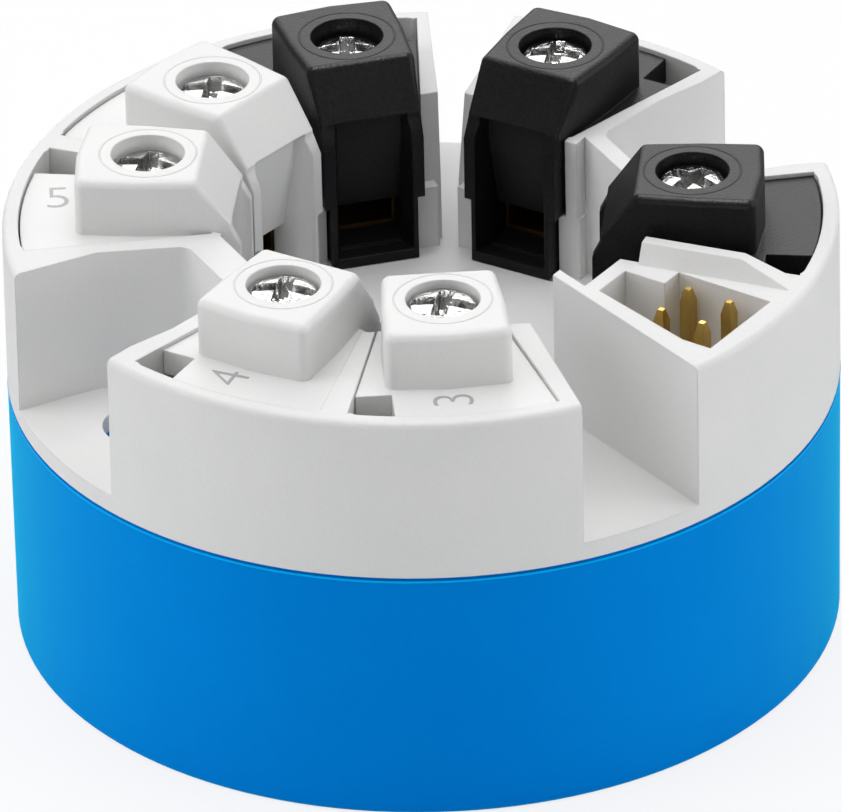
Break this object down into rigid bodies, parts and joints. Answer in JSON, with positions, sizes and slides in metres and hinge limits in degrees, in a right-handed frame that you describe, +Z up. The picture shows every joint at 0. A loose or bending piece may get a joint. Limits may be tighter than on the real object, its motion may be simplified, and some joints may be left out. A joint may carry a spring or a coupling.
{
  "type": "head-mounted temperature transmitter",
  "caption": "Round head-mounted temperature transmitter: moulded cup, terminal housing with hooded screw terminals, two mounting holes, centre wire hole and a pin service port.",
  "frame": {"origin": "centre of the cup's bottom face", "axes": "+Z up, from the bottom face towards the terminals; X through the two mounting holes, with terminals 1 and 2 on the +X side and 3 to 7 on the other; +Y towards terminals 1, 5, 6 and 7, away from the service port"},
  "size_m": [0.044, 0.044, 0.0266],
  "materials": {
    "blue_plastic": "satin moulded",
    "white_plastic": "matte moulded",
    "black_plastic": "matte moulded",
    "nickel_steel": "bright nickel plate",
    "clamp_steel": "plated",
    "contact_brass": "satin",
    "pin_gold": "gold flash",
    "header_plastic": "matte",
    "board_laminate": "solder mask",
    "potting_resin": "cured resin",
    "chip_plastic": "moulded epoxy",
    "coil_plastic": "varnished",
    "ferrite": "sintered",
    "capacitor_ceramic": "ceramic"
  },
  "bodies": {
    "housing": {"base_cup": "blue_plastic", "terminal_housing": "white_plastic", "terminal_cap_1": "black_plastic", "terminal_cap_2": "black_plastic", "terminal_cap_3": "white_plastic", "terminal_cap_4": "white_plastic", "terminal_cap_5": "white_plastic", "terminal_cap_6": "white_plastic", "terminal_cap_7": "black_plastic", "contact_cage_1": "contact_brass", "contact_cage_2": "contact_brass", "contact_cage_3": "contact_brass", "contact_cage_4": "contact_brass", "contact_cage_5": "contact_brass", "contact_cage_6": "contact_brass", "contact_cage_7": "contact_brass", "circuit_board": "board_laminate", "port_pins": "pin_gold", "pin_header": "header_plastic", "potting": "potting_resin", "microcontroller": "chip_plastic", "isolating_transformer": "coil_plastic", "signal_converter": "chip_plastic", "voltage_regulator": "chip_plastic", "power_inductor": "ferrite", "board_capacitors": "capacitor_ceramic"},
    "clamp_1": {"clamp_plate_1": "clamp_steel"},
    "screw_1": {"terminal_screw_1": "nickel_steel"},
    "clamp_2": {"clamp_plate_2": "clamp_steel"},
    "screw_2": {"terminal_screw_2": "nickel_steel"},
    "clamp_3": {"clamp_plate_3": "clamp_steel"},
    "screw_3": {"terminal_screw_3": "nickel_steel"},
    "clamp_4": {"clamp_plate_4": "clamp_steel"},
    "screw_4": {"terminal_screw_4": "nickel_steel"},
    "clamp_5": {"clamp_plate_5": "clamp_steel"},
    "screw_5": {"terminal_screw_5": "nickel_steel"},
    "clamp_6": {"clamp_plate_6": "clamp_steel"},
    "screw_6": {"terminal_screw_6": "nickel_steel"},
    "clamp_7": {"clamp_plate_7": "clamp_steel"},
    "screw_7": {"terminal_screw_7": "nickel_steel"}
  },
  "joints": [
    {"name": "clamp_1_lift", "type": "slide", "parent": "housing", "child": "clamp_1", "axis": [0, 0, 1], "range_m": [-0.00235, 0.0003]},
    {"name": "screw_1_turn", "type": "hinge", "parent": "clamp_1", "child": "screw_1", "pos_m": [0.0121, 0.00771, 0.0225], "axis": [0, 0, 1], "range_deg": [-1880, 240]},
    {"name": "clamp_2_lift", "type": "slide", "parent": "housing", "child": "clamp_2", "axis": [0, 0, 1], "range_m": [-0.0023, 0.00035]},
    {"name": "screw_2_turn", "type": "hinge", "parent": "clamp_2", "child": "screw_2", "pos_m": [0.0121, -0.00771, 0.0225], "axis": [0, 0, 1], "range_deg": [-1840, 280]},
    {"name": "clamp_3_lift", "type": "slide", "parent": "housing", "child": "clamp_3", "axis": [0, 0, 1], "range_m": [-0.0026, 0.00005]},
    {"name": "screw_3_turn", "type": "hinge", "parent": "clamp_3", "child": "screw_3", "pos_m": [-0.00549, -0.01326, 0.0225], "axis": [0, 0, 1], "range_deg": [-2080, 40]},
    {"name": "clamp_4_lift", "type": "slide", "parent": "housing", "child": "clamp_4", "axis": [0, 0, 1], "range_m": [-0.00255, 0.0001]},
    {"name": "screw_4_turn", "type": "hinge", "parent": "clamp_4", "child": "screw_4", "pos_m": [-0.01199, -0.00788, 0.0225], "axis": [0, 0, 1], "range_deg": [-2040, 80]},
    {"name": "clamp_5_lift", "type": "slide", "parent": "housing", "child": "clamp_5", "axis": [0, 0, 1], "range_m": [-0.0022, 0.00045]},
    {"name": "screw_5_turn", "type": "hinge", "parent": "clamp_5", "child": "screw_5", "pos_m": [-0.01199, 0.00788, 0.0225], "axis": [0, 0, 1], "range_deg": [-1760, 360]},
    {"name": "clamp_6_lift", "type": "slide", "parent": "housing", "child": "clamp_6", "axis": [0, 0, 1], "range_m": [-0.00235, 0.0003]},
    {"name": "screw_6_turn", "type": "hinge", "parent": "clamp_6", "child": "screw_6", "pos_m": [-0.00549, 0.01326, 0.0225], "axis": [0, 0, 1], "range_deg": [-1880, 240]},
    {"name": "clamp_7_lift", "type": "slide", "parent": "housing", "child": "clamp_7", "axis": [0, 0, 1], "range_m": [-0.00205, 0.0006]},
    {"name": "screw_7_turn", "type": "hinge", "parent": "clamp_7", "child": "screw_7", "pos_m": [0.00291, 0.01405, 0.0225], "axis": [0, 0, 1], "range_deg": [-1640, 480]}
  ],
  "couplings": [
    {"joint": "screw_1_turn", "follows": "clamp_1_lift", "rad_per_m": 13963},
    {"joint": "screw_2_turn", "follows": "clamp_2_lift", "rad_per_m": 13963},
    {"joint": "screw_3_turn", "follows": "clamp_3_lift", "rad_per_m": 13963},
    {"joint": "screw_4_turn", "follows": "clamp_4_lift", "rad_per_m": 13963},
    {"joint": "screw_5_turn", "follows": "clamp_5_lift", "rad_per_m": 13963},
    {"joint": "screw_6_turn", "follows": "clamp_6_lift", "rad_per_m": 13963},
    {"joint": "screw_7_turn", "follows": "clamp_7_lift", "rad_per_m": 13963}
  ]
}
